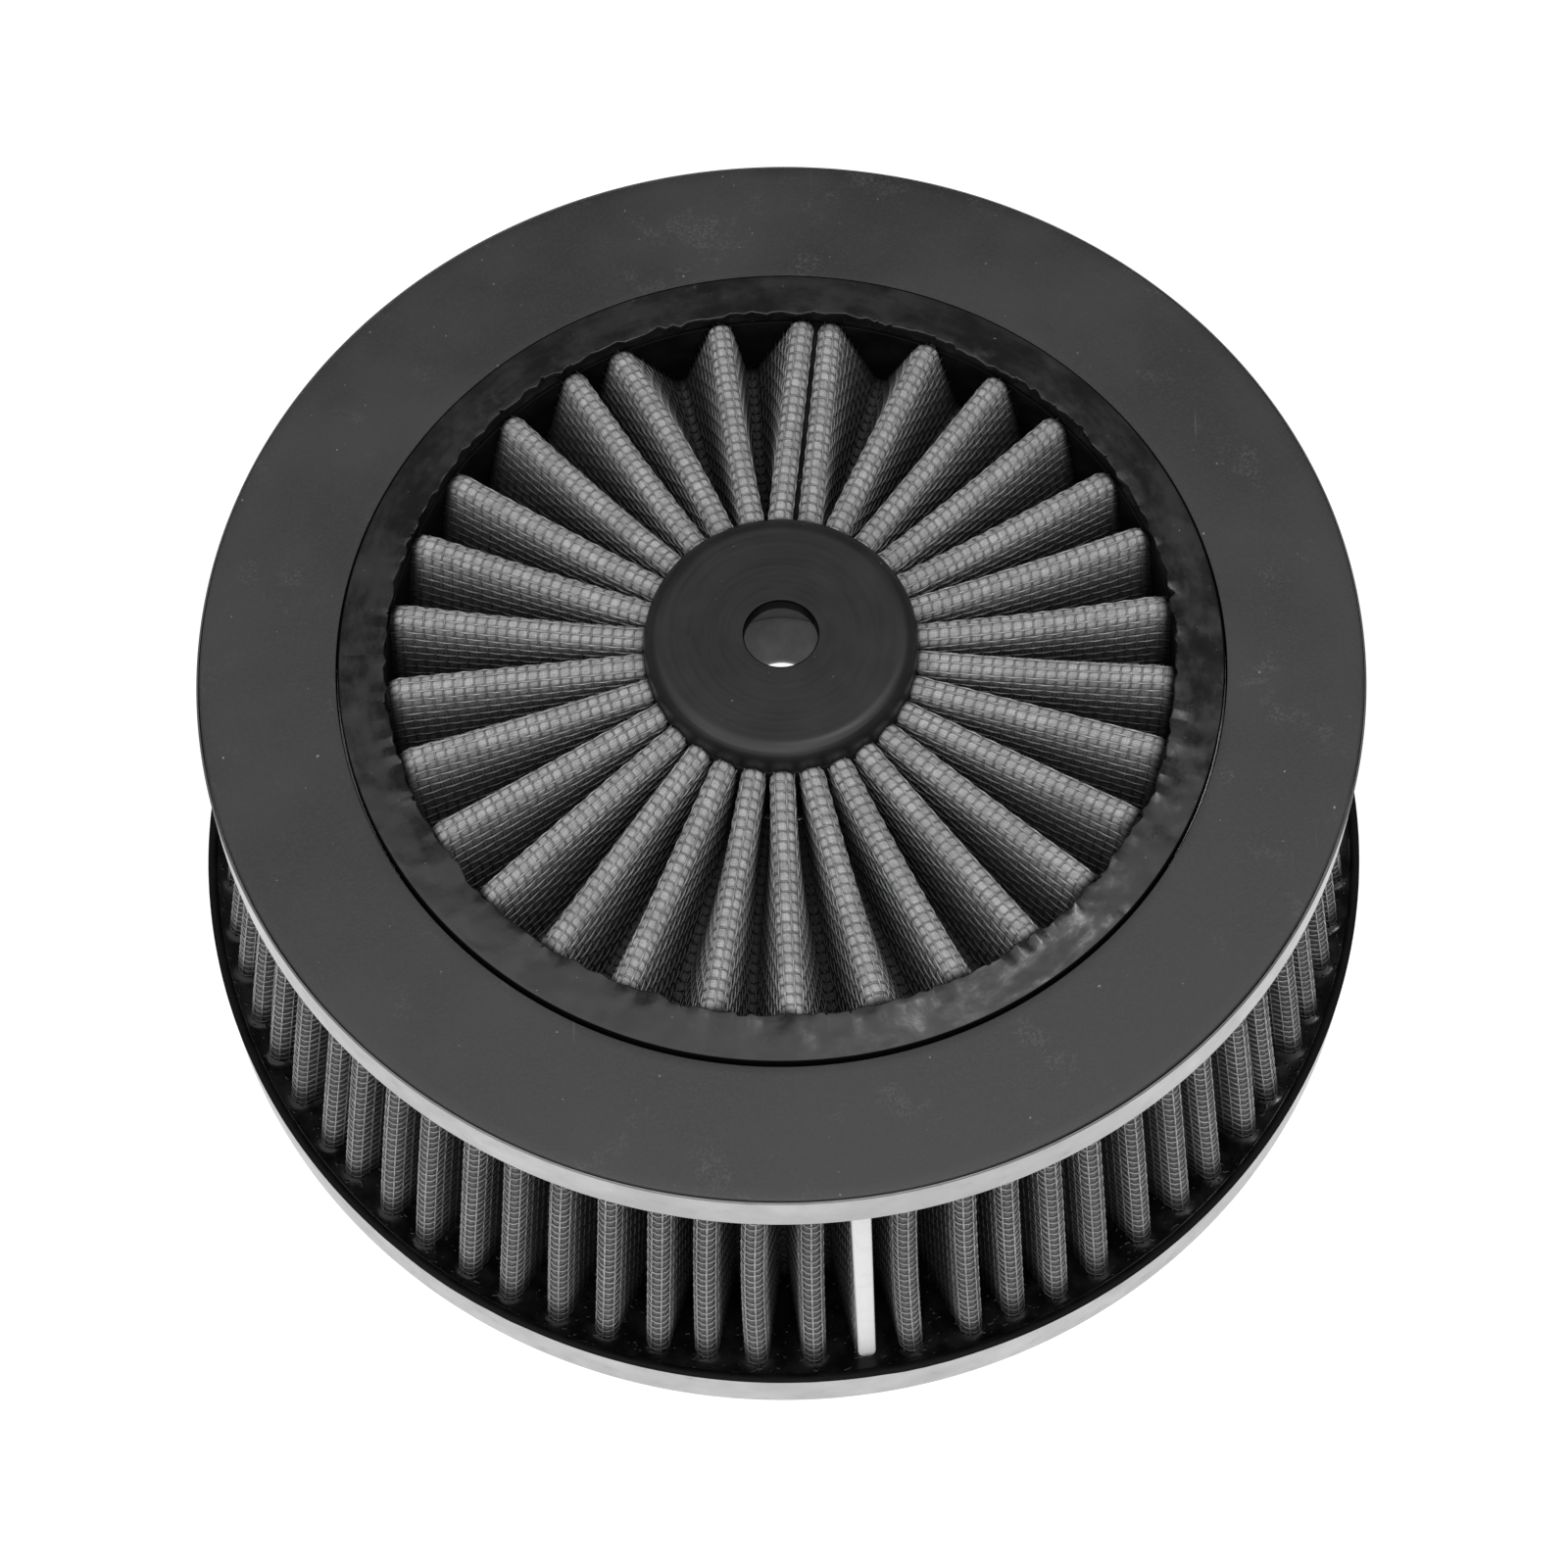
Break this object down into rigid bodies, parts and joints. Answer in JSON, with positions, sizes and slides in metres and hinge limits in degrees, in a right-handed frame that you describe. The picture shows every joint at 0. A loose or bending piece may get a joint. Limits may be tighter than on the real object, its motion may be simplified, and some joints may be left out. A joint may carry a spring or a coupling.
{
  "type": "air filter",
  "caption": "Round conical pleated air filter element with a pleated open top, a centre bolt hub and sealing rings in aluminium end caps.",
  "frame": {"origin": "centre of the bottom sealing face, where the element rests on its backing plate", "axes": "+Z along the element's axis, from the sealing face to the hub; -Y faces the front, beside the side seam"},
  "size_m": [0.1706, 0.1706, 0.0709],
  "materials": {
    "bare_aluminium": "satin, brushed round the wall",
    "seal_rubber": "matt, fine grain",
    "black_potting": "cast polyurethane, glossy to satin",
    "hub_plastic": "satin, faint turning rings",
    "wire_screen": "fine woven wire, dull grey coating",
    "cotton_gauze": "grey oiled cotton, soft",
    "white_clip": "white, satin"
  },
  "bodies": {
    "root": {"top_cap": "bare_aluminium", "bottom_cap": "bare_aluminium", "top_face_ring": "seal_rubber", "bottom_gasket": "seal_rubber", "inner_rim": "black_potting", "radial_pack_wall": "black_potting", "top_potting": "black_potting", "bottom_potting": "black_potting", "radial_seam_bead": "black_potting", "hub_cap": "hub_plastic", "hub_core": "hub_plastic", "hub_base": "hub_plastic", "side_outer_screen": "wire_screen", "side_inner_screen": "wire_screen", "radial_upper_screen": "wire_screen", "radial_lower_screen": "wire_screen", "side_outer_gauze": "cotton_gauze", "side_inner_gauze": "cotton_gauze", "radial_upper_gauze": "cotton_gauze", "radial_lower_gauze": "cotton_gauze", "side_seam_clip": "white_clip"}
  },
  "joints": []
}
